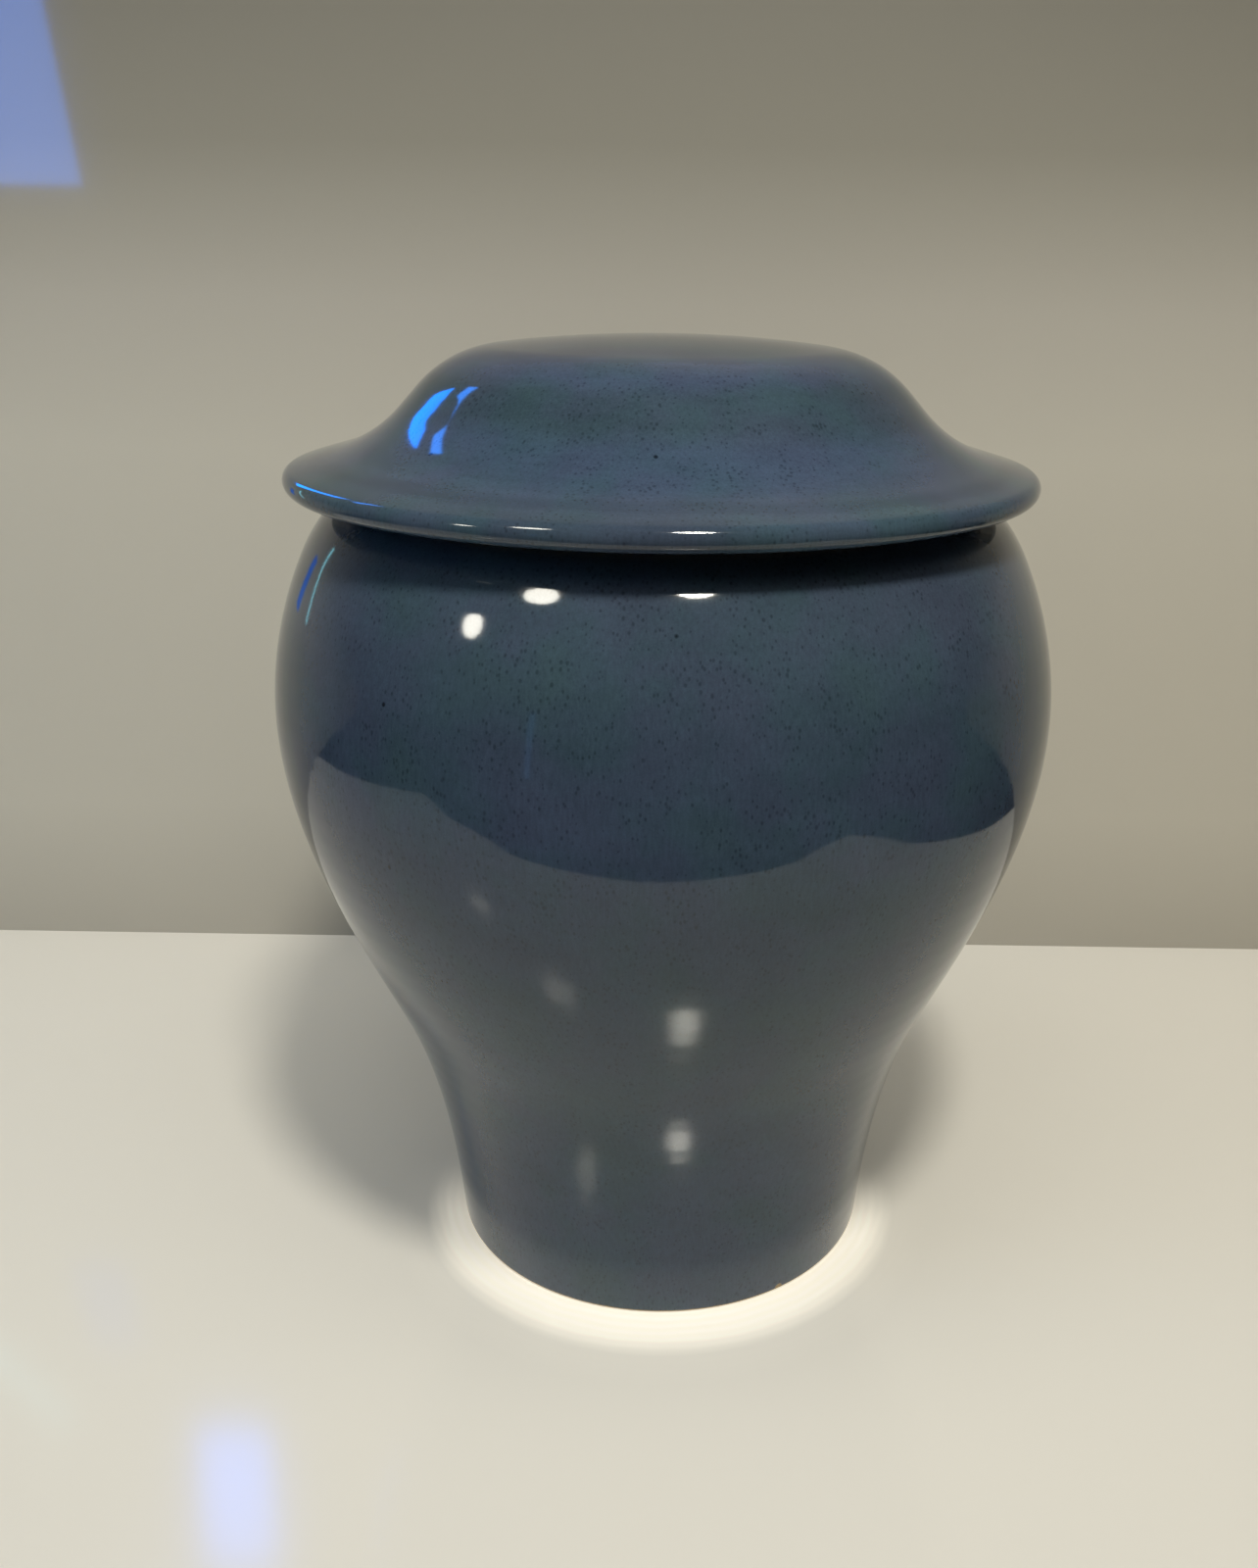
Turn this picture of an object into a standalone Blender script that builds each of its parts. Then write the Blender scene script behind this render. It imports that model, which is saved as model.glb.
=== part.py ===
"""A funeral urn in glazed stoneware: a thrown jar and the wide-brimmed lid that rests on its neck.

Metres, +Z up. The origin is at the centre of the foot, on the surface that the urn stands on.
Both pieces are turned, so each is one outline, from axis to axis, carried round by a Screw modifier.
An outline runs outward from the axis, down the outer side and back in. Slopes are in degrees below
level for a line that runs outward: 0 is level, 90 straight down, 180 level again but inward.
"""

import math

import bpy

# The whole urn
WALL = 0.0065                  # thrown wall of the jar and of the lid's dome
SEAT_GAP = 0.0003              # between the neck and the lid that rests on it
TURNED_SIDES = 56              # facets round each piece

# The jar's outer side: radius, height and slope where its curve changes
FOOT_RADIUS = 0.0618
FOOT_SLOPE = 93.8
FLANK = (0.0775, 0.0788, 113.6)
BELLY = (0.1015, 0.1590, 90.0)
SHOULDER = (0.0909, 0.2010, 62.8)
COLLAR = (0.0862, 0.2081, 50.0)
NECK_ROOT = (0.0755, 0.2138, 15.0)

# The jar's neck, under the lid
NECK_FILLET = 0.0020
NECK_OUTER = NECK_ROOT[0] - NECK_FILLET * (1 - math.sin(math.radians(NECK_ROOT[2])))
RIM_HEIGHT = 0.2195
RIM_ROUND = 0.0022

# The jar's foot and floor
FOOT_BEVEL = 0.0012            # worn, unglazed edge
FOOT_RING = 0.0095             # width of the ring that it stands on
FOOT_RECESS = 0.0030           # hollow turned under the floor
FLOOR_HEIGHT = 0.0090
FLOOR_CORNER = 0.0080

# The lid, from its crown outward
LID_SHIFT = -0.0008            # it lies a little to the left of the jar's axis
LID_TOP = 0.2499
CROWN_RISE = 0.0024
CROWN_RADIUS = 0.0416
DOME_ROUND = 0.0303
FLANK_SLOPE = 46.4
FLANK_LENGTH = 0.0062
SWEEP_ROUND = 0.0381
BRIM_SLOPE = 15.7
BRIM_RADIUS = 0.0931
BRIM_THICKNESS = 0.0055

# The lid's flange, which keeps it centred in the neck
FLANGE_CLEARANCE = 0.0015
FLANGE_THICKNESS = 0.0050
FLANGE_DEPTH = 0.0090
FLANGE_FILLET = 0.0010
CAVITY_CORNER = 0.0060


def heading(slope):
    """Unit step along a slope, as (radius, height)."""
    angle = math.radians(slope)
    return math.cos(angle), -math.sin(angle)


def outward(slope):
    """Unit step square to a slope, out of the clay."""
    angle = math.radians(slope)
    return math.sin(angle), math.cos(angle)


def bend(points, radius, start, end, steps):
    """Carry an outline on round an arc, from one slope to another."""
    turn = 1 if end > start else -1
    out_r, out_z = outward(start)
    centre_r = points[-1][0] - turn * radius * out_r
    centre_z = points[-1][1] - turn * radius * out_z
    for step in range(1, steps + 1):
        out_r, out_z = outward(start + (end - start) * step / steps)
        points.append((centre_r + turn * radius * out_r, centre_z + turn * radius * out_z))


def run(points, length, slope):
    """Carry an outline straight on."""
    step_r, step_z = heading(slope)
    points.append((points[-1][0] + length * step_r, points[-1][1] + length * step_z))


def sweep(points, start, end, steps):
    """Carry an outline along a smooth curve between two places, each (radius, height, slope)."""
    third = math.dist(start[:2], end[:2]) / 3
    leave = heading(start[2])
    arrive = heading(end[2])
    for step in range(1, steps + 1):
        t = step / steps
        place = []
        for axis in (0, 1):
            first, last = start[axis], end[axis]
            near = first + third * leave[axis]
            far = last - third * arrive[axis]
            place.append((1 - t) ** 3 * first + 3 * (1 - t) ** 2 * t * near
                         + 3 * (1 - t) * t ** 2 * far + t ** 3 * last)
        points.append(tuple(place))


def through_wall(place):
    """The place on the inner face of the wall behind one on its outer face."""
    radius, height, slope = place
    out_r, out_z = outward(slope)
    return radius - WALL * out_r, height - WALL * out_z, slope


def crown(points, top, steps):
    """The shallow dome at the middle of the lid."""
    for step in range(steps + 1):
        share = step / steps
        points.append((CROWN_RADIUS * share, top - CROWN_RISE * share ** 2))


def jar_outline():
    """Floor, inner wall, rim, outer side and underside of the jar."""
    fillet_height = NECK_ROOT[1] + NECK_FILLET * outward(NECK_ROOT[2])[1]

    lining = [through_wall(NECK_ROOT)[:2]]
    sweep(lining, through_wall(NECK_ROOT), through_wall(COLLAR), 2)
    sweep(lining, through_wall(COLLAR), through_wall(SHOULDER), 1)
    sweep(lining, through_wall(SHOULDER), through_wall(BELLY), 3)
    sweep(lining, through_wall(BELLY), through_wall(FLANK), 4)
    corner_height = FLOOR_HEIGHT + FLOOR_CORNER * (1 + outward(FOOT_SLOPE)[1])
    corner_radius = FOOT_RADIUS - WALL - corner_height * outward(FOOT_SLOPE)[1]
    sweep(lining, through_wall(FLANK), (corner_radius, corner_height, FOOT_SLOPE), 4)
    bend(lining, FLOOR_CORNER, FOOT_SLOPE, 180, 3)
    lining.append((0.0, FLOOR_HEIGHT))

    points = lining[::-1]
    bend(points, NECK_FILLET + WALL, NECK_ROOT[2] - 180, -90, 3)
    points.append((points[-1][0], RIM_HEIGHT - RIM_ROUND))
    bend(points, RIM_ROUND, -90, 0, 2)
    points.append((NECK_OUTER - RIM_ROUND, RIM_HEIGHT))
    bend(points, RIM_ROUND, 0, 90, 2)
    points.append((NECK_OUTER, fillet_height))
    bend(points, NECK_FILLET, 90, NECK_ROOT[2], 3)
    sweep(points, NECK_ROOT, COLLAR, 2)
    sweep(points, COLLAR, SHOULDER, 2)
    sweep(points, SHOULDER, BELLY, 5)
    sweep(points, BELLY, FLANK, 6)
    sweep(points, FLANK, (FOOT_RADIUS, FOOT_BEVEL, FOOT_SLOPE), 5)
    points.append((FOOT_RADIUS - FOOT_BEVEL, 0.0))
    points.append((FOOT_RADIUS - FOOT_RING, 0.0))
    points.append((FOOT_RADIUS - FOOT_RING - FOOT_RECESS, FOOT_RECESS))
    points.append((0.0, FOOT_RECESS))
    return points


def lid_outline():
    """Crown, dome, sweep, brim, seat, flange and cavity of the lid."""
    crown_slope = math.degrees(math.atan(2 * CROWN_RISE / CROWN_RADIUS))
    seat = RIM_HEIGHT + SEAT_GAP
    edge = BRIM_THICKNESS / 2

    points = []
    crown(points, LID_TOP, 2)
    bend(points, DOME_ROUND, crown_slope, FLANK_SLOPE, 5)
    run(points, FLANK_LENGTH, FLANK_SLOPE)
    bend(points, SWEEP_ROUND, FLANK_SLOPE, BRIM_SLOPE, 4)
    edge_start = BRIM_RADIUS - edge * (1 - outward(BRIM_SLOPE)[0])
    run(points, (edge_start - points[-1][0]) / heading(BRIM_SLOPE)[0], BRIM_SLOPE)
    bend(points, edge, BRIM_SLOPE, BRIM_SLOPE + 180, 6)
    run(points, (seat - points[-1][1]) / heading(BRIM_SLOPE + 180)[1], BRIM_SLOPE + 180)

    flange_outer = NECK_OUTER - WALL - FLANGE_CLEARANCE
    points.append((flange_outer + FLANGE_FILLET, seat))
    bend(points, FLANGE_FILLET, 180, 90, 2)
    points.append((flange_outer, seat - FLANGE_DEPTH + FLANGE_THICKNESS / 2))
    bend(points, FLANGE_THICKNESS / 2, 90, 270, 4)

    cavity = []
    crown(cavity, LID_TOP - WALL, 1)
    bend(cavity, DOME_ROUND - WALL, crown_slope, FLANK_SLOPE, 3)
    corner_reach = CAVITY_CORNER * (1 - outward(FLANK_SLOPE)[0])
    flank_reach = flange_outer - FLANGE_THICKNESS - corner_reach - cavity[-1][0]
    run(cavity, flank_reach / heading(FLANK_SLOPE)[0], FLANK_SLOPE)
    bend(cavity, CAVITY_CORNER, FLANK_SLOPE, 90, 2)
    return points + cavity[::-1]


def stoneware(name, colour):
    """Fired clay under a glossy glaze."""
    material = bpy.data.materials.new(name)
    material.use_nodes = True
    shader = material.node_tree.nodes["Principled BSDF"]
    shader.inputs["Base Color"].default_value = (*colour, 1.0)
    shader.inputs["Roughness"].default_value = 0.12
    shader.inputs["Metallic"].default_value = 0.0
    return material


def turned(name, outline, material, group, parent):
    """One piece turned about its axis from its outline."""
    mesh = bpy.data.meshes.new(name)
    edges = [(index, index + 1) for index in range(len(outline) - 1)]
    mesh.from_pydata([(radius, 0.0, height) for radius, height in outline], edges, [])
    mesh.materials.append(material)
    piece = bpy.data.objects.new(name, mesh)
    group.objects.link(piece)
    piece.parent = parent
    screw = piece.modifiers.new("turned", "SCREW")
    screw.axis = "Z"
    screw.angle = math.tau
    screw.steps = TURNED_SIDES
    screw.render_steps = TURNED_SIDES
    screw.use_merge_vertices = True
    screw.merge_threshold = 0.00002
    screw.use_smooth_shade = True
    return piece


def clear_scene():
    for item in list(bpy.data.objects):
        bpy.data.objects.remove(item, do_unlink=True)


def main():
    clear_scene()
    group = bpy.data.collections.new("funeral urn")
    bpy.context.scene.collection.children.link(group)
    stand = bpy.data.objects.new("urn", None)
    group.objects.link(stand)
    turned("jar", jar_outline(), stoneware("jar glaze", (0.065, 0.090, 0.118)), group, stand)
    lid = turned("lid", lid_outline(), stoneware("lid glaze", (0.072, 0.102, 0.135)), group, stand)
    lid.location.x = LID_SHIFT


main()
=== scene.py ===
"""A funeral urn in glazed stoneware: a thrown jar, and the wide-brimmed lid that rests on its neck.

The file follows the urn as it is put together: the jar, the lid, then what it is shown on and lit by.
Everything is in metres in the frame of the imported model, with +Z up and the foot's centre at the origin.
"""

import math

import bpy
from mathutils import Matrix, Vector


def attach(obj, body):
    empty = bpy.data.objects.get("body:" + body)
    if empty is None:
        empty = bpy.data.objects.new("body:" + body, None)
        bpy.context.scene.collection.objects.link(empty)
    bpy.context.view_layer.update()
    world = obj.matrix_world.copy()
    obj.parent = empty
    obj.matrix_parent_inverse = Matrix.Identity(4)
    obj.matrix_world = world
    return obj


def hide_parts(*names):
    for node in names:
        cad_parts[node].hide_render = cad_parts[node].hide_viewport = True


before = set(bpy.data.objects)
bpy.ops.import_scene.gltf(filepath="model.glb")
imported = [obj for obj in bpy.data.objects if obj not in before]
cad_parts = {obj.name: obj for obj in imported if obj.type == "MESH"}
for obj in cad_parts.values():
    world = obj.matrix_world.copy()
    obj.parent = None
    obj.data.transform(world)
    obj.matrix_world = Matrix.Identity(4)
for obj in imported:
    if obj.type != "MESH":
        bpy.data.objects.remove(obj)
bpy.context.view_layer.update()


# The jar
# A stoneware jar, thrown on a wheel in one piece and turned smooth, with a broad shoulder, a narrow
# waist and a plain foot. It is dipped in a slate-blue glaze, which is wiped off the edge of the foot
# and the top of the rim, where the bare clay shows.

WALL = 0.0065
SEAT_GAP = 0.0003              # between the rim and the lid that rests on it

# radius, height and slope where the outer curve changes: 0 is level, 90 straight down
FOOT_RADIUS = 0.0618
FOOT_SLOPE = 93.8
FLANK = (0.0775, 0.0788, 113.6)
BELLY = (0.1015, 0.1590, 90.0)
SHOULDER = (0.0909, 0.2010, 62.8)
COLLAR = (0.0862, 0.2081, 50.0)
NECK_ROOT = (0.0755, 0.2138, 15.0)

NECK_FILLET = 0.0020
NECK_OUTER = NECK_ROOT[0] - NECK_FILLET * (1 - math.sin(math.radians(NECK_ROOT[2])))
RIM_HEIGHT = 0.2195
RIM_ROUND = 0.0022

FOOT_BEVEL = 0.0012
FOOT_RING = 0.0095
FOOT_RECESS = 0.0030
FOOT_SOFTENING = 0.0008        # worn corners of the ring that it stands on
FLOOR_HEIGHT = 0.0090
FLOOR_CORNER = 0.0080

SHOWN_STEP = 0.0012            # along an outline where it shows
HIDDEN_STEP = 0.0040           # and inside the urn
FINE_STEP = 0.0003             # and round the small edges


def heading(slope):
    """Unit step along a slope, as (radius, height)."""
    angle = math.radians(slope)
    return math.cos(angle), -math.sin(angle)


def outward(slope):
    """Unit step square to a slope, out of the clay."""
    angle = math.radians(slope)
    return math.sin(angle), math.cos(angle)


def line(points, end, step):
    """Carry an outline straight on to a place."""
    start = points[-1]
    count = max(1, round(math.dist(start, end) / step))
    for number in range(1, count + 1):
        share = number / count
        points.append((start[0] + (end[0] - start[0]) * share, start[1] + (end[1] - start[1]) * share))


def run(points, length, slope, step):
    """Carry an outline straight on for a length."""
    step_r, step_z = heading(slope)
    line(points, (points[-1][0] + length * step_r, points[-1][1] + length * step_z), step)


def bend(points, radius, start, end, step):
    """Carry an outline on round an arc, from one slope to another."""
    turn = 1 if end > start else -1
    out_r, out_z = outward(start)
    centre_r = points[-1][0] - turn * radius * out_r
    centre_z = points[-1][1] - turn * radius * out_z
    count = max(4, round(radius * math.radians(abs(end - start)) / step))
    for number in range(1, count + 1):
        out_r, out_z = outward(start + (end - start) * number / count)
        points.append((centre_r + turn * radius * out_r, centre_z + turn * radius * out_z))


def sweep(points, start, end, step):
    """Carry an outline along a smooth curve between two places, each (radius, height, slope)."""
    third = math.dist(start[:2], end[:2]) / 3
    leave = heading(start[2])
    arrive = heading(end[2])
    count = round(3 * third / step)
    for number in range(1, count + 1):
        t = number / count
        place = []
        for axis in (0, 1):
            near = start[axis] + third * leave[axis]
            far = end[axis] - third * arrive[axis]
            place.append((1 - t) ** 3 * start[axis] + 3 * (1 - t) ** 2 * t * near
                         + 3 * (1 - t) * t ** 2 * far + t ** 3 * end[axis])
        points.append(tuple(place))


def through_wall(place):
    """The place on the inner face of the wall behind one on its outer face."""
    radius, height, slope = place
    out_r, out_z = outward(slope)
    return radius - WALL * out_r, height - WALL * out_z, slope


def jar_outline():
    """Floor, inner wall, rim, outer side and underside of the jar, from axis to axis."""
    fillet_height = NECK_ROOT[1] + NECK_FILLET * outward(NECK_ROOT[2])[1]
    corner_height = FLOOR_HEIGHT + FLOOR_CORNER * (1 + outward(FOOT_SLOPE)[1])
    corner_radius = FOOT_RADIUS - WALL - corner_height * outward(FOOT_SLOPE)[1]

    lining = [through_wall(NECK_ROOT)[:2]]
    sweep(lining, through_wall(NECK_ROOT), through_wall(COLLAR), HIDDEN_STEP)
    sweep(lining, through_wall(COLLAR), through_wall(SHOULDER), HIDDEN_STEP)
    sweep(lining, through_wall(SHOULDER), through_wall(BELLY), HIDDEN_STEP)
    sweep(lining, through_wall(BELLY), through_wall(FLANK), HIDDEN_STEP)
    sweep(lining, through_wall(FLANK), (corner_radius, corner_height, FOOT_SLOPE), HIDDEN_STEP)
    bend(lining, FLOOR_CORNER, FOOT_SLOPE, 180, 2 * SHOWN_STEP)
    line(lining, (0.0, FLOOR_HEIGHT), 2 * HIDDEN_STEP)

    points = lining[::-1]
    bend(points, NECK_FILLET + WALL, NECK_ROOT[2] - 180, -90, SHOWN_STEP)
    line(points, (points[-1][0], RIM_HEIGHT - RIM_ROUND), SHOWN_STEP)
    bend(points, RIM_ROUND, -90, 0, FINE_STEP)
    line(points, (NECK_OUTER - RIM_ROUND, RIM_HEIGHT), SHOWN_STEP)
    bend(points, RIM_ROUND, 0, 90, FINE_STEP)
    line(points, (NECK_OUTER, fillet_height), SHOWN_STEP)
    bend(points, NECK_FILLET, 90, NECK_ROOT[2], FINE_STEP)
    sweep(points, NECK_ROOT, COLLAR, SHOWN_STEP)
    sweep(points, COLLAR, SHOULDER, SHOWN_STEP)
    sweep(points, SHOULDER, BELLY, SHOWN_STEP)
    sweep(points, BELLY, FLANK, SHOWN_STEP)
    bevel_height = FOOT_BEVEL * (1 + outward(FOOT_SLOPE)[1])
    sweep(points, FLANK, (FOOT_RADIUS, bevel_height, FOOT_SLOPE), SHOWN_STEP)
    bend(points, FOOT_BEVEL, FOOT_SLOPE, 180, FINE_STEP)
    run(points, FOOT_RING - FOOT_BEVEL, 180, SHOWN_STEP)
    bend(points, FOOT_SOFTENING, 180, 225, FINE_STEP)
    run(points, FOOT_RECESS, 225, SHOWN_STEP)
    bend(points, FOOT_SOFTENING, 225, 180, FINE_STEP)
    line(points, (0.0, points[-1][1]), HIDDEN_STEP)
    return points


def jar_relief(radius, height):
    """How much of the thrower's marks a place on the jar keeps: none on the rim and the foot ring."""
    return min(1.0, max(0.0, (height - 0.0015) / 0.006), max(0.0, (0.2165 - height) / 0.004))


def add(tree, kind, sockets=None, **settings):
    """Add a node with its settings, and give each named input a value or a link."""
    made = tree.nodes.new(kind)
    for name, value in settings.items():
        setattr(made, name, value)
    for name, value in (sockets or {}).items():
        if isinstance(value, bpy.types.NodeSocket):
            tree.links.new(value, made.inputs[name])
        else:
            made.inputs[name].default_value = value
    return made


def wheel_tree():
    """Turns an outline about the upright axis, and leaves the spiral and the unevenness of thrown clay."""
    tree = bpy.data.node_groups.new("thrown on the wheel", "GeometryNodeTree")
    for name, kind in (("Outline", "Geometry"), ("Sides", "Int"), ("Spiral Pitch", "Float"),
                       ("Spiral Depth", "Float"), ("Unevenness", "Float"), ("Unevenness Size", "Float"),
                       ("Seed", "Float"), ("Clay", "Material")):
        tree.interface.new_socket(name=name, in_out="INPUT", socket_type="NodeSocket" + kind)
    tree.interface.new_socket(name="Piece", in_out="OUTPUT", socket_type="NodeSocketGeometry")
    given = add(tree, "NodeGroupInput").outputs

    # one column of the grid for each place round the wheel, one row for each point of the outline
    outline_size = add(tree, "GeometryNodeAttributeDomainSize", {"Geometry": given["Outline"]}).outputs
    count = outline_size["Point Count"]
    columns = add(tree, "FunctionNodeIntegerMath", {0: given["Sides"], 1: 1}, operation="ADD")
    sheet = add(tree, "GeometryNodeMeshGrid", {"Vertices X": columns.outputs[0], "Vertices Y": count})
    index = add(tree, "GeometryNodeInputIndex").outputs[0]
    row = add(tree, "FunctionNodeIntegerMath", {0: index, 1: count}, operation="FLOORED_MODULO").outputs[0]
    column = add(tree, "FunctionNodeIntegerMath", {0: index, 1: count}, operation="DIVIDE_FLOOR").outputs[0]
    position = add(tree, "GeometryNodeInputPosition").outputs[0]
    place = add(tree, "GeometryNodeSampleIndex",
                {"Geometry": given["Outline"], "Value": position, "Index": row}, data_type="FLOAT_VECTOR")
    kept = add(tree, "GeometryNodeInputNamedAttribute", {"Name": "relief"}, data_type="FLOAT").outputs[0]
    share = add(tree, "GeometryNodeSampleIndex", {"Geometry": given["Outline"], "Value": kept, "Index": row},
                data_type="FLOAT")
    turns = add(tree, "ShaderNodeMath", {0: column, 1: given["Sides"]}, operation="DIVIDE")
    angle = add(tree, "ShaderNodeMath", {0: turns.outputs[0], 1: math.tau}, operation="MULTIPLY")
    round_axis = add(tree, "ShaderNodeVectorRotate", {"Vector": place.outputs[0], "Angle": angle.outputs[0]},
                     rotation_type="Z_AXIS")
    wrapped = add(tree, "GeometryNodeSetPosition",
                  {"Geometry": sheet.outputs["Mesh"], "Position": round_axis.outputs[0]})
    marked = add(tree, "GeometryNodeStoreNamedAttribute",
                 {"Geometry": wrapped.outputs[0], "Name": "relief", "Value": share.outputs[0]},
                 data_type="FLOAT", domain="POINT")
    closed = add(tree, "GeometryNodeMergeByDistance", {"Geometry": marked.outputs[0], "Distance": 0.00001})
    facing = add(tree, "GeometryNodeFlipFaces", {"Mesh": closed.outputs[0]})

    # the spiral climbs one pitch for each turn, so it meets itself all the way up
    parts = add(tree, "ShaderNodeSeparateXYZ", {0: position}).outputs
    bearing = add(tree, "ShaderNodeMath", {0: parts["Y"], 1: parts["X"]}, operation="ARCTAN2")
    climb = add(tree, "ShaderNodeMath", {0: parts["Z"], 1: given["Spiral Pitch"]}, operation="DIVIDE")
    climbed = add(tree, "ShaderNodeMath", {0: climb.outputs[0], 1: math.tau, 2: bearing.outputs[0]},
                  operation="MULTIPLY_ADD")
    wave = add(tree, "ShaderNodeMath", {0: climbed.outputs[0]}, operation="SINE")
    spiral = add(tree, "ShaderNodeMath", {0: wave.outputs[0], 1: given["Spiral Depth"]}, operation="MULTIPLY")

    fineness = add(tree, "ShaderNodeMath", {0: 1.0, 1: given["Unevenness Size"]}, operation="DIVIDE")
    hands = add(tree, "ShaderNodeTexNoise",
                {"Vector": position, "W": given["Seed"], "Scale": fineness.outputs[0], "Detail": 1.0},
                noise_dimensions="4D")
    centred = add(tree, "ShaderNodeMath", {0: hands.outputs["Fac"], 1: 0.5}, operation="SUBTRACT")
    swell = add(tree, "ShaderNodeMath",
                {0: centred.outputs[0], 1: given["Unevenness"], 2: spiral.outputs[0]},
                operation="MULTIPLY_ADD")
    left = add(tree, "GeometryNodeInputNamedAttribute", {"Name": "relief"}, data_type="FLOAT").outputs[0]
    depth = add(tree, "ShaderNodeMath", {0: swell.outputs[0], 1: left}, operation="MULTIPLY")
    normal = add(tree, "GeometryNodeInputNormal").outputs[0]
    offset = add(tree, "ShaderNodeVectorMath", {0: normal, "Scale": depth.outputs[0]}, operation="SCALE")
    thrown = add(tree, "GeometryNodeSetPosition",
                 {"Geometry": facing.outputs[0], "Offset": offset.outputs[0]})
    plain = add(tree, "GeometryNodeRemoveAttribute", {"Geometry": thrown.outputs[0], "Name": "relief"})
    smooth = add(tree, "GeometryNodeSetShadeSmooth", {"Geometry": plain.outputs[0]})
    real = add(tree, "GeometryNodeRealizeInstances", {"Geometry": smooth.outputs[0]})
    clad = add(tree, "GeometryNodeSetMaterial", {"Geometry": real.outputs[0], "Material": given["Clay"]})
    add(tree, "NodeGroupOutput", {"Piece": clad.outputs[0]})
    return tree


WHEEL = wheel_tree()


def throw(name, outline, relief, clay, shift=0.0, **settings):
    """One thrown piece: its outline carried round the wheel, as a plain mesh."""
    mesh = bpy.data.meshes.new(name + " outline")
    mesh.from_pydata([(radius, 0.0, height) for radius, height in outline],
                     [(number, number + 1) for number in range(len(outline) - 1)], [])
    shares = mesh.attributes.new("relief", "FLOAT", "POINT")
    shares.data.foreach_set("value", [relief(radius, height) for radius, height in outline])
    piece = bpy.data.objects.new(name, mesh)
    bpy.context.scene.collection.objects.link(piece)
    turning = piece.modifiers.new("wheel", "NODES")
    turning.node_group = WHEEL
    inputs = {item.name: item.identifier for item in WHEEL.interface.items_tree if item.in_out == "INPUT"}
    turning[inputs["Clay"]] = clay
    for label, value in settings.items():
        turning[inputs[label.replace("_", " ").title()]] = value
    graph = bpy.context.evaluated_depsgraph_get()
    solid = bpy.data.meshes.new_from_object(piece.evaluated_get(graph))
    solid.name = name
    solid.transform(Matrix.Translation((shift, 0.0, 0.0)))
    piece.modifiers.remove(turning)
    piece.data = solid
    return piece


def linear(colour):
    """An sRGB hex colour as the linear one that a shader takes."""
    channels = []
    for start in (1, 3, 5):
        value = int(colour[start:start + 2], 16) / 255
        channels.append(value / 12.92 if value <= 0.04045 else ((value + 0.055) / 1.055) ** 2.4)
    return (*channels, 1.0)


def graded(tree, value, stops):
    """Colours along a value, given as (place, hex colour) from its first place to its last."""
    first, last = stops[0][0], stops[-1][0]
    share = add(tree, "ShaderNodeMapRange", {"Value": value, "From Min": first, "From Max": last})
    ramp = add(tree, "ShaderNodeValToRGB", {"Fac": share.outputs[0]})
    while len(ramp.color_ramp.elements) < len(stops):
        ramp.color_ramp.elements.new(0.5)
    for number, (place, _) in enumerate(stops):
        ramp.color_ramp.elements[number].position = (place - first) / (last - first)
    for number, (_, colour) in enumerate(stops):
        ramp.color_ramp.elements[number].color = linear(colour)
    return ramp.outputs[0]


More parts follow.
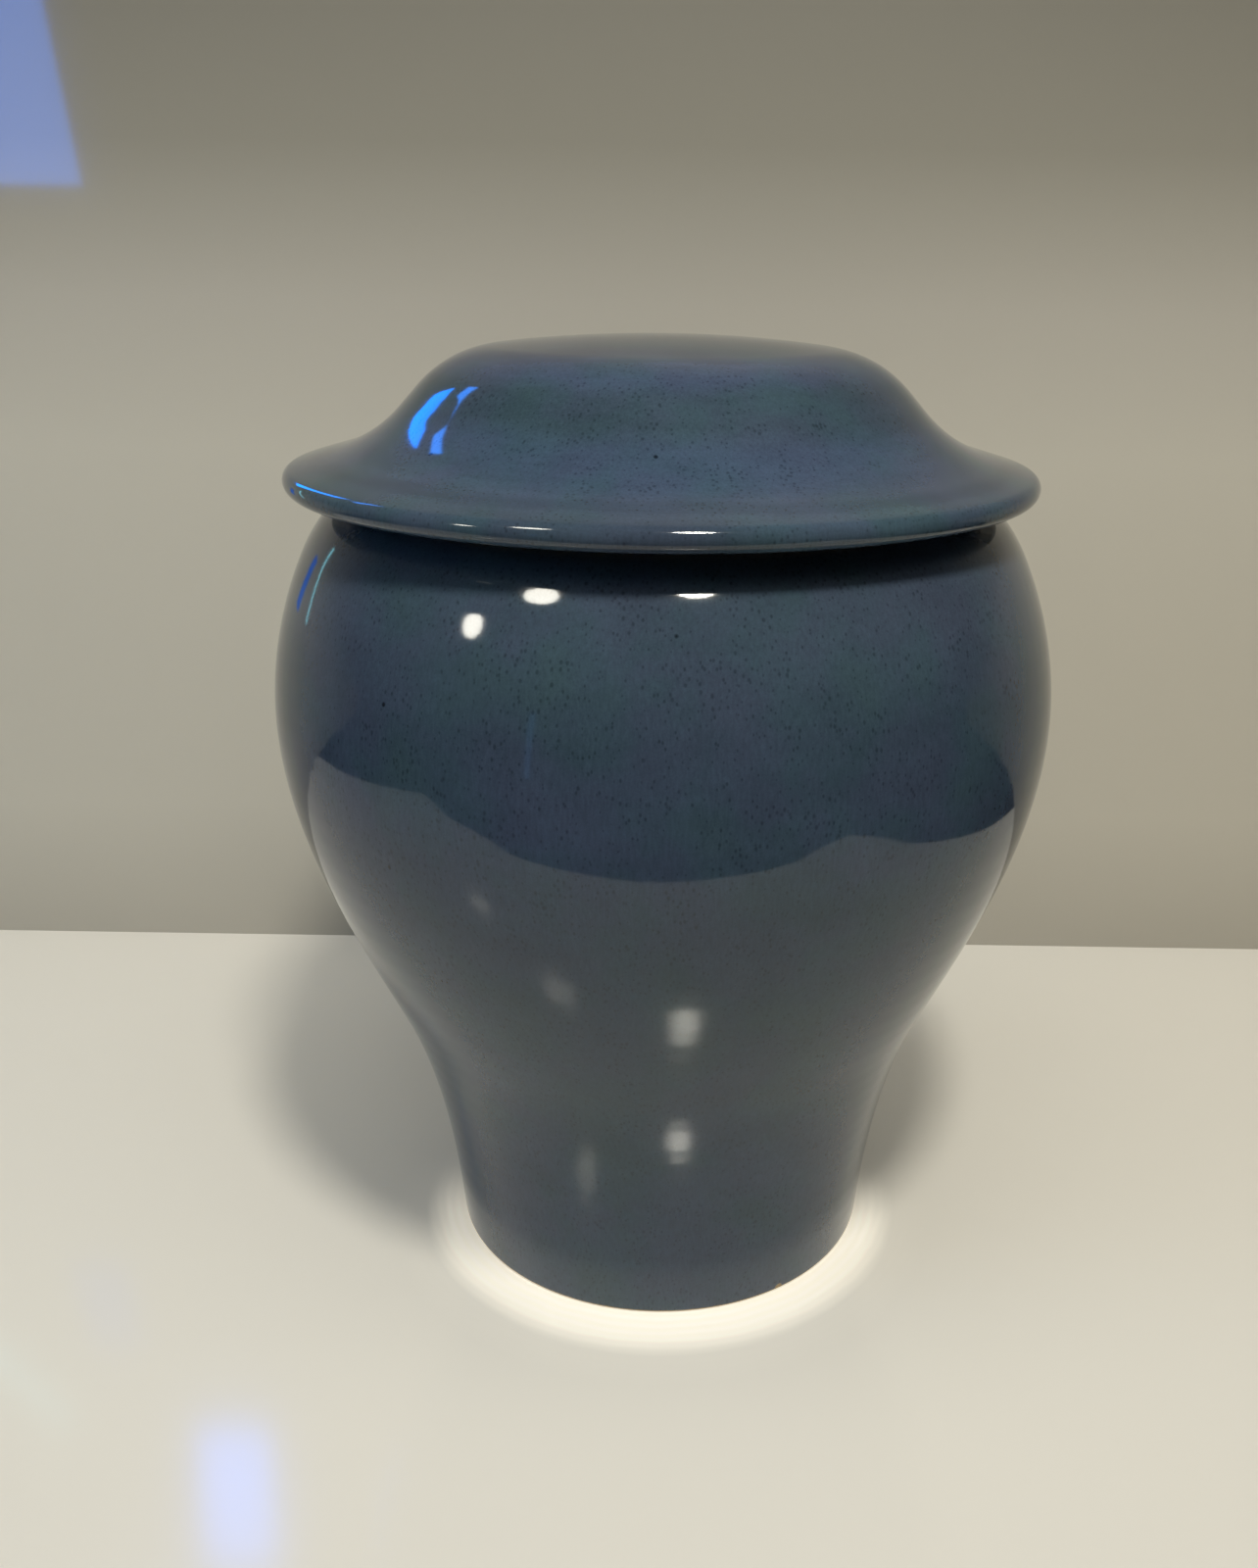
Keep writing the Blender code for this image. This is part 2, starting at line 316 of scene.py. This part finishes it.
def slate_glaze(name, zone, stops, banding, bare, chip):
    """Slate-blue stoneware glaze with iron specks, fired glossy.

    zone is "height" or "radius", and stops are the glaze's colours along it, in millimetres.
    banding is how far its bands go lighter and darker. bare gives the places where it is wiped off,
    as (lowest, highest, widest) in millimetres, and chip one place where it is knocked off.
    """
    material = bpy.data.materials.new(name)
    material.use_nodes = True
    tree = material.node_tree
    shader = tree.nodes["Principled BSDF"]
    coords = add(tree, "ShaderNodeTexCoord").outputs["Object"]
    mm = add(tree, "ShaderNodeVectorMath", {0: coords, "Scale": 1000.0}, operation="SCALE").outputs[0]
    parts = add(tree, "ShaderNodeSeparateXYZ", {0: mm}).outputs
    flat = add(tree, "ShaderNodeVectorMath", {0: mm, 1: (1.0, 1.0, 0.0)}, operation="MULTIPLY").outputs[0]
    radius = add(tree, "ShaderNodeVectorMath", {0: flat}, operation="LENGTH").outputs["Value"]
    along = parts["Z"] if zone == "height" else radius

    def factor(value, low, high, darkest, lightest):
        """A value from low to high, as a factor on the colour."""
        return add(tree, "ShaderNodeMapRange", {"Value": value, "From Min": low, "From Max": high,
                                                "To Min": darkest, "To Max": lightest}).outputs[0]

    def noise(vector, scale, detail, roughness=0.5):
        return add(tree, "ShaderNodeTexNoise", {"Vector": vector, "Scale": scale, "Detail": detail,
                                                "Roughness": roughness}).outputs["Fac"]

    def times(first, second):
        return add(tree, "ShaderNodeMath", {0: first, 1: second}, operation="MULTIPLY").outputs[0]

    # places round the wheel, drawn together at the axis, for marks that run round the piece
    nearness = add(tree, "ShaderNodeMath", {0: radius, 1: 8.0}, operation="ADD")
    turned = add(tree, "ShaderNodeVectorMath", {0: flat, 1: nearness.outputs[0]},
                 operation="DIVIDE").outputs[0]

    def wheel_marks(width, breaks):
        """Coordinates for marks so many millimetres wide, broken that often on the way round."""
        spread = add(tree, "ShaderNodeVectorMath", {0: turned, "Scale": breaks}, operation="SCALE")
        across = add(tree, "ShaderNodeMath", {0: along, 1: width}, operation="DIVIDE")
        level = add(tree, "ShaderNodeCombineXYZ", {"Z": across.outputs[0]})
        return add(tree, "ShaderNodeVectorMath", {0: spread.outputs[0], 1: level.outputs[0]},
                   operation="ADD").outputs[0]

    # the dip and the brush leave level bands that are never quite level
    drift = noise(mm, 1 / 30, 3.0)
    wander = add(tree, "ShaderNodeMath", {0: drift, 1: 7.0, 2: along}, operation="MULTIPLY_ADD")
    level = add(tree, "ShaderNodeMath", {0: wander.outputs[0], 1: 3.5}, operation="SUBTRACT")
    ramp = graded(tree, level.outputs[0], stops)
    bands = factor(noise(wheel_marks(9.0, 2.2), 1.0, 3.0, 0.6), 0.3, 0.7, 1.0 - banding, 1.0 + banding)
    lines = factor(noise(wheel_marks(1.6, 5.0), 1.0, 2.0), 0.3, 0.7, 1.0 - 0.4 * banding, 1.0 + 0.4 * banding)

    # where it lies thick it goes green, where thin violet
    cloud = noise(mm, 1 / 26, 3.0, 0.55)
    hue = graded(tree, cloud, ((0.30, "#edfff2"), (0.45, "#f0fbfa"), (0.55, "#f9f7ff"), (0.70, "#fff3ff")))
    mottled = add(tree, "ShaderNodeVectorMath", {0: ramp, 1: hue}, operation="MULTIPLY").outputs[0]
    depth = factor(noise(mm, 1 / 14, 3.0), 0.3, 0.7, 0.93, 1.07)

    # fine runs, half a millimetre wide and a few long, from when the glaze melted
    stretch = add(tree, "ShaderNodeVectorMath", {0: mm, 1: (1.0, 1.0, 0.2)}, operation="MULTIPLY").outputs[0]
    runs = noise(stretch, 1.5, 2.0, 0.6)
    running = factor(runs, 0.3, 0.7, 0.90, 1.10)
    grain = factor(noise(mm, 2.4, 1.0), 0.3, 0.7, 0.93, 1.07)

    # iron specks, half a millimetre across and one or two apart, thicker in some places than others
    dots = add(tree, "ShaderNodeVectorMath", {0: mm, 1: (1.0, 1.0, 0.65)}, operation="MULTIPLY").outputs[0]
    specks = add(tree, "ShaderNodeTexVoronoi", {"Vector": dots, "Scale": 0.80}).outputs["Distance"]
    size = factor(noise(mm, 1 / 9, 2.0, 0.6), 0.35, 0.65, 0.16, 0.40)
    nearby = add(tree, "ShaderNodeMath", {0: specks, 1: size}, operation="DIVIDE").outputs[0]
    specked = factor(nearby, 0.45, 1.0, 0.66, 1.02)

    # a few pinholes, where gas came out in the kiln, drawn as dark dots: painted shade inside the holes
    holes = add(tree, "ShaderNodeTexVoronoi", {"Vector": mm, "Scale": 1 / 19}).outputs["Distance"]
    pinhole_shade = factor(holes, 0.018, 0.034, 0.25, 1.0)

    shade = times(times(times(bands, lines), times(depth, running)), times(times(grain, specked), pinhole_shade))
    glazed = add(tree, "ShaderNodeVectorMath", {0: mottled, "Scale": shade}, operation="SCALE").outputs[0]

    # bare clay, toasted in the kiln
    ragged = add(tree, "ShaderNodeMath", {0: noise(mm, 0.25, 3.0), 1: 0.5}, operation="SUBTRACT")
    edge = add(tree, "ShaderNodeMath", {0: ragged.outputs[0], 1: 0.6, 2: parts["Z"]},
               operation="MULTIPLY_ADD").outputs[0]
    from_chip = add(tree, "ShaderNodeVectorMath", {0: mm, 1: chip[:3]}, operation="DISTANCE").outputs["Value"]
    wiped = factor(from_chip, 0.7 * chip[3], chip[3], 1.0, 0.0)
    for lowest, highest, widest in bare:
        here = times(factor(edge, highest - 0.08, highest + 0.08, 1.0, 0.0),
                     factor(edge, lowest - 0.08, lowest + 0.08, 0.0, 1.0))
        here = times(here, factor(radius, widest - 0.3, widest + 0.3, 1.0, 0.0))
        wiped = add(tree, "ShaderNodeMath", {0: wiped, 1: here}, operation="MAXIMUM").outputs[0]
    clay = add(tree, "ShaderNodeMix", {0: noise(mm, 1.4, 2.0), 6: linear("#7d6a4e"), 7: linear("#b19b77")},
               data_type="RGBA")
    surface = add(tree, "ShaderNodeMix", {0: wiped, 6: glazed, 7: clay.outputs[2]}, data_type="RGBA")
    tree.links.new(surface.outputs[2], shader.inputs["Base Color"])

    # the glaze is glass, and the clay is dry
    tree.links.new(factor(wiped, 0.0, 1.0, 0.07, 0.75), shader.inputs["Roughness"])
    shader.inputs["IOR"].default_value = 1.5
    peel = add(tree, "ShaderNodeMath", {0: runs, 1: 0.25, 2: noise(mm, 1 / 3, 2.0)}, operation="MULTIPLY_ADD")
    skin = add(tree, "ShaderNodeBump", {"Height": peel.outputs[0], "Strength": 0.35, "Distance": 0.00002})
    tree.links.new(skin.outputs[0], shader.inputs["Normal"])
    return material


jar_glaze = slate_glaze("slate glaze of the jar", "height",
                        ((0.0, "#3c4b5b"), (30.0, "#3a4a5a"), (75.0, "#374959"), (97.0, "#344655"),
                         (118.0, "#354756"), (138.0, "#354554"), (157.0, "#3c495a"), (178.0, "#384553"),
                         (200.0, "#3f4c59"), (220.0, "#3f4c59")),
                        0.035, ((-1.0, 0.85, 70.0), (219.0, 221.0, 80.0)), (35.0, -51.0, 0.9, 1.4))
jar = throw("jar_glazed", jar_outline(), jar_relief, jar_glaze, sides=256, spiral_pitch=0.0062,
            spiral_depth=0.000008, unevenness=0.00025, unevenness_size=0.055, seed=4.0)
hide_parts("jar")
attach(jar, "root")


# The lid
# A lid thrown upside down and turned over: a flat crown, a steep dome that sweeps out into a wide
# brim with a full round edge, and underneath a flange that keeps it centred in the neck. It has the
# jar's glaze, laid on with a brush as it turned, and is bare where it touches the jar.

LID_SHIFT = -0.0008            # it lies a little to the left of the jar's axis
LID_TOP = 0.2499
CROWN_RISE = 0.0024
CROWN_RADIUS = 0.0416
DOME_ROUND = 0.0303
FLANK_SLOPE = 46.4
FLANK_LENGTH = 0.0062
SWEEP_ROUND = 0.0381
BRIM_SLOPE = 15.7
BRIM_RADIUS = 0.0931
BRIM_THICKNESS = 0.0055

FLANGE_CLEARANCE = 0.0015
FLANGE_THICKNESS = 0.0050
FLANGE_DEPTH = 0.0090
FLANGE_FILLET = 0.0010
CAVITY_CORNER = 0.0060


def crown(points, top, step):
    """The shallow dome at the middle of the lid."""
    count = round(CROWN_RADIUS / step)
    for number in range(count + 1):
        share = number / count
        points.append((CROWN_RADIUS * share, top - CROWN_RISE * share ** 2))


def lid_outline():
    """Crown, dome, sweep, brim, seat, flange and cavity of the lid, from axis to axis."""
    crown_slope = math.degrees(math.atan(2 * CROWN_RISE / CROWN_RADIUS))
    seat = RIM_HEIGHT + SEAT_GAP
    edge = BRIM_THICKNESS / 2

    points = []
    crown(points, LID_TOP, SHOWN_STEP)
    bend(points, DOME_ROUND, crown_slope, FLANK_SLOPE, SHOWN_STEP)
    run(points, FLANK_LENGTH, FLANK_SLOPE, SHOWN_STEP)
    bend(points, SWEEP_ROUND, FLANK_SLOPE, BRIM_SLOPE, SHOWN_STEP)
    edge_start = BRIM_RADIUS - edge * (1 - outward(BRIM_SLOPE)[0])
    run(points, (edge_start - points[-1][0]) / heading(BRIM_SLOPE)[0], BRIM_SLOPE, SHOWN_STEP)
    bend(points, edge, BRIM_SLOPE, BRIM_SLOPE + 180, 2 * FINE_STEP)
    run(points, (seat - points[-1][1]) / heading(BRIM_SLOPE + 180)[1], BRIM_SLOPE + 180, SHOWN_STEP)

    flange_outer = NECK_OUTER - WALL - FLANGE_CLEARANCE
    line(points, (flange_outer + FLANGE_FILLET, seat), SHOWN_STEP)
    bend(points, FLANGE_FILLET, 180, 90, FINE_STEP)
    line(points, (flange_outer, seat - FLANGE_DEPTH + FLANGE_THICKNESS / 2), SHOWN_STEP)
    bend(points, FLANGE_THICKNESS / 2, 90, 270, 2 * FINE_STEP)

    cavity = []
    crown(cavity, LID_TOP - WALL, HIDDEN_STEP)
    bend(cavity, DOME_ROUND - WALL, crown_slope, FLANK_SLOPE, HIDDEN_STEP)
    corner_reach = CAVITY_CORNER * (1 - outward(FLANK_SLOPE)[0])
    flank_reach = flange_outer - FLANGE_THICKNESS - corner_reach - cavity[-1][0]
    run(cavity, flank_reach / heading(FLANK_SLOPE)[0], FLANK_SLOPE, HIDDEN_STEP)
    bend(cavity, CAVITY_CORNER, FLANK_SLOPE, 90, SHOWN_STEP)
    return points + cavity[::-1]


def lid_relief(radius, height):
    """How much of the thrower's marks a place on the lid keeps: none on the seat and the flange."""
    return 0.0 if height < 0.2235 and radius < 0.080 else 1.0


lid_glaze = slate_glaze("slate glaze of the lid", "radius",
                        ((0.0, "#44505e"), (45.0, "#414e60"), (53.0, "#404d60"), (57.5, "#3b4955"),
                         (63.0, "#3b4955"), (67.0, "#3f4e60"), (80.0, "#3e4d60"), (83.0, "#354557"),
                         (85.5, "#364556"), (88.0, "#3d4d5c"), (94.0, "#3d4b57")),
                        0.11, ((209.0, 223.5, 76.0),), (60.0, 62.0, 219.0, 0.8))
lid = throw("lid_glazed", lid_outline(), lid_relief, lid_glaze, shift=LID_SHIFT, sides=256,
            spiral_pitch=0.0062, spiral_depth=0.000008, unevenness=0.00025, unevenness_size=0.055, seed=9.0)
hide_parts("lid")
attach(lid, "root")


# What it is shown on
# A pale, half-glossy floor with a ring of light painted into it round the foot, and a grey wall close
# behind it, painted darker towards the top as shade where the lamps' light falls off. The wall has one
# face: from behind it, the urn is seen through it. Black cards mark where the floor ends as the glaze
# reflects it.

WALL_DISTANCE = 0.175          # behind the axis
FLOOR_LEFT = -0.62             # where the reflected floor ends
FLOOR_RIGHT = 0.35
FLOOR_FRONT = -0.31
STAGE_REACH = 4.0              # of the floor and the wall, well out of the picture
CARD_LIFT = 0.0004             # of the black cards above the floor
# strength of the ring of light painted into the floor round the foot
PAINTED_GLOW = 0.45                    # of the ring round the foot


def panel(name, corners, material):
    """A flat four-cornered panel."""
    mesh = bpy.data.meshes.new(name)
    mesh.from_pydata(corners, [], [(0, 1, 2, 3)])
    mesh.materials.append(material)
    made = bpy.data.objects.new(name, mesh)
    bpy.context.scene.collection.objects.link(made)
    return made


def plain_finish(name, colour, roughness, one_face):
    """An even coat, seen only from its front if it has one face."""
    material = bpy.data.materials.new(name)
    material.use_nodes = True
    tree = material.node_tree
    shader = tree.nodes["Principled BSDF"]
    shader.inputs["Base Color"].default_value = linear(colour)
    shader.inputs["Roughness"].default_value = roughness
    if one_face:
        side = add(tree, "ShaderNodeNewGeometry").outputs["Backfacing"]
        clear = add(tree, "ShaderNodeBsdfTransparent").outputs[0]
        both = add(tree, "ShaderNodeMixShader", {0: side, 1: shader.outputs[0], 2: clear})
        tree.links.new(both.outputs[0], tree.nodes["Material Output"].inputs["Surface"])
    return material


# a bright ring of light, which the glaze would throw on the floor round the foot, is painted into the floor
# as emission, widest in front
pale_floor = plain_finish("pale floor", "#e6e2da", 0.13, False)
tree = pale_floor.node_tree
shader = tree.nodes["Principled BSDF"]
coords = add(tree, "ShaderNodeTexCoord").outputs["Object"]
mm = add(tree, "ShaderNodeVectorMath", {0: coords, "Scale": 1000.0}, operation="SCALE").outputs[0]
reach = add(tree, "ShaderNodeVectorMath", {0: mm, 1: (0.0, -6.0, 0.0)}, operation="DISTANCE").outputs["Value"]
across = add(tree, "ShaderNodeVectorMath", {0: mm}, operation="NORMALIZE")
toward = add(tree, "ShaderNodeSeparateXYZ", {0: across.outputs[0]}).outputs["Y"]
in_front = add(tree, "ShaderNodeMapRange", {"Value": toward, "From Min": 0.25, "From Max": -0.45},
               interpolation_type="SMOOTHSTEP")
painted_glow = graded(tree, reach, ((58.0, "#ffffff"), (66.0, "#e8e8e8"), (69.5, "#b4b4b4"), (73.0, "#505050"),
                            (84.0, "#000000")))
ripple = add(tree, "ShaderNodeTexWave", {"Vector": mm, "Scale": 0.11, "Distortion": 1.5, "Detail": 1.0},
             wave_type="RINGS", rings_direction="Z")
rippled = add(tree, "ShaderNodeMapRange", {"Value": ripple.outputs["Fac"], "To Min": 0.86, "To Max": 1.0})
ring = add(tree, "ShaderNodeMath", {0: painted_glow, 1: in_front.outputs[0]}, operation="MULTIPLY")
ring = add(tree, "ShaderNodeMath", {0: ring.outputs[0], 1: rippled.outputs[0]}, operation="MULTIPLY")
ring = add(tree, "ShaderNodeMath", {0: ring.outputs[0], 1: PAINTED_GLOW}, operation="MULTIPLY")
tree.links.new(ring.outputs[0], shader.inputs["Emission Strength"])
shader.inputs["Emission Color"].default_value = linear("#fff6e0")
panel("floor", [(-STAGE_REACH, -STAGE_REACH, 0), (STAGE_REACH, -STAGE_REACH, 0),
                (STAGE_REACH, STAGE_REACH, 0), (-STAGE_REACH, STAGE_REACH, 0)], pale_floor)

# the wall's colour is painted from pale to dark going up: painted shade where the lamps' light falls off
grey_wall = plain_finish("grey wall", "#b9b3a6", 0.50, True)
tree = grey_wall.node_tree
coords = add(tree, "ShaderNodeTexCoord").outputs["Object"]
height = add(tree, "ShaderNodeSeparateXYZ", {0: coords}).outputs["Z"]
shade = graded(tree, height, ((0.0, "#bdb8ad"), (0.06, "#d0cbbf"), (0.20, "#d0cbbf"), (0.25, "#bfbab0"),
                              (0.30, "#989489"), (0.36, "#7e7b72"), (0.45, "#605e58"), (0.60, "#3a3935")))
tree.links.new(shade, tree.nodes["Principled BSDF"].inputs["Base Color"])
panel("wall", [(-STAGE_REACH, WALL_DISTANCE, 0), (STAGE_REACH, WALL_DISTANCE, 0),
               (STAGE_REACH, WALL_DISTANCE, STAGE_REACH), (-STAGE_REACH, WALL_DISTANCE, STAGE_REACH)],
      grey_wall)

black = plain_finish("black card", "#050505", 1.0, True)
for name, left, right, front, back in (
        ("card in front", -STAGE_REACH, STAGE_REACH, -STAGE_REACH, FLOOR_FRONT),
        ("card at the left", -STAGE_REACH, FLOOR_LEFT, FLOOR_FRONT, WALL_DISTANCE),
        ("card at the right", FLOOR_RIGHT, STAGE_REACH, FLOOR_FRONT, WALL_DISTANCE)):
    corners = [(left, front, CARD_LIFT), (right, front, CARD_LIFT),
               (right, back, CARD_LIFT), (left, back, CARD_LIFT)]
    card = panel(name, corners, black)
    card.visible_camera = False
    card.visible_diffuse = False
    card.visible_shadow = False


# The light
# One round lamp high in front and two weaker ones at the left, whose reflections sit in the glaze,
# soft light from above all round, and strips of cold daylight that only the glaze catches.

LAMP_COLOUR = (1.06, 1.02, 0.90)
SKY_COLOUR = (1.03, 1.02, 0.945)
SKY_POWER = 1.35

for name, place, target, power, size, lights_stage in (
        ("lamp at the right", (0.092, -0.385, 0.82), (-0.10, 0.10, 0.0), 2.8, 0.11, True),
        ("lamp at the left", (-0.40, -0.40, 0.81), (0.0, 0.0, 0.12), 0.65, 0.13, False),
        ("lamp far left", (-0.96, -0.57, 0.79), (0.0, 0.0, 0.12), 0.55, 0.12, False)):
    lamp = bpy.data.lights.new(name, "AREA")
    lamp.shape = "DISK"
    lamp.size = size
    lamp.energy = power
    lamp.color = LAMP_COLOUR
    lamp.spread = math.radians(155.0)
    stand = bpy.data.objects.new(name, lamp)
    stand.location = place
    stand.rotation_euler = (Vector(target) - Vector(place)).to_track_quat("-Z", "Y").to_euler()
    stand.visible_diffuse = lights_stage
    bpy.context.scene.collection.objects.link(stand)

fill = bpy.data.lights.new("cold fill", "AREA")
fill.shape = "DISK"
fill.size = 0.5
fill.energy = 1.2
fill.color = (0.35, 0.62, 1.0)
stand = bpy.data.objects.new("cold fill", fill)
stand.location = (-0.95, -0.35, 0.45)
stand.rotation_euler = (-stand.location).to_track_quat("-Z", "Y").to_euler()
stand.visible_glossy = False
bpy.context.scene.collection.objects.link(stand)


def daylight(name, corners, colour, power):
    """A strip of cold light that shows only as a reflection."""
    material = bpy.data.materials.new(name)
    material.use_nodes = True
    shader = material.node_tree.nodes["Principled BSDF"]
    shader.inputs["Base Color"].default_value = (0.0, 0.0, 0.0, 1.0)
    shader.inputs["Emission Color"].default_value = linear(colour)
    shader.inputs["Emission Strength"].default_value = power
    strip = panel(name, corners, material)
    strip.visible_camera = False
    strip.visible_diffuse = False
    strip.visible_shadow = False


NEAR_WALL = WALL_DISTANCE - 0.003
for number, (colour, power, places) in enumerate((
        ("#0f7cff", 10.0, ((-0.205, 0.285), (-0.243, 0.285), (-0.252, 0.388), (-0.212, 0.388))),
        ("#2f86ff", 8.0, ((-0.222, 0.430), (-0.270, 0.430), (-0.328, 0.474), (-0.234, 0.462))),
        ("#1d4c9c", 3.0, ((-0.262, 0.180), (-0.290, 0.180), (-0.286, 0.232), (-0.262, 0.232))),
        ("#8fe0f0", 4.0, ((-0.366, 0.192), (-0.374, 0.192), (-0.312, 0.284), (-0.304, 0.284))))):
    daylight("daylight %d" % (number + 1), [(x, NEAR_WALL, z) for x, z in places], colour, power)
daylight("daylight in front",
         [(-0.583, -0.84, 0.10), (-0.560, -0.86, 0.10), (-0.560, -0.86, 0.42), (-0.583, -0.84, 0.42)],
         "#3d6c9c", 2.0)

world = bpy.data.worlds.new("room")
bpy.context.scene.world = world
world.use_nodes = True
tree = world.node_tree
backdrop = tree.nodes["Background"]
path = add(tree, "ShaderNodeLightPath").outputs
direction = add(tree, "ShaderNodeTexCoord").outputs["Generated"]
height = add(tree, "ShaderNodeSeparateXYZ", {0: direction}).outputs["Z"]
above = add(tree, "ShaderNodeMapRange",
            {"Value": height, "From Min": 0.6, "From Max": 0.8, "To Max": SKY_POWER})
sky = add(tree, "ShaderNodeVectorMath", {0: SKY_COLOUR, "Scale": above.outputs[0]}, operation="SCALE")
seen = add(tree, "ShaderNodeMix", {0: path["Is Diffuse Ray"], 6: linear("#1c2226"), 7: sky.outputs[0]},
           data_type="RGBA")
tree.links.new(seen.outputs[2], backdrop.inputs["Color"])


# The camera
# Held in front of the urn and a little above it, tilted down. Its picture is shifted because the
# photograph is a crop of a larger one.

LENS = 32.33
TILT = 26.223
ROLL = 0.878

lens = bpy.data.cameras.new("camera")
lens.sensor_width = 36.0
lens.lens = LENS
lens.shift_x = -0.0347
lens.shift_y = 0.0987
camera = bpy.data.objects.new("camera", lens)
camera.matrix_world = (Matrix.Translation((0.0061, -0.3705, 0.2695))
                       @ Matrix.Rotation(math.radians(90.0 - TILT), 4, "X")
                       @ Matrix.Rotation(math.radians(ROLL), 4, "Z"))
bpy.context.scene.collection.objects.link(camera)
bpy.context.scene.camera = camera
bpy.context.scene.view_settings.view_transform = "Standard"
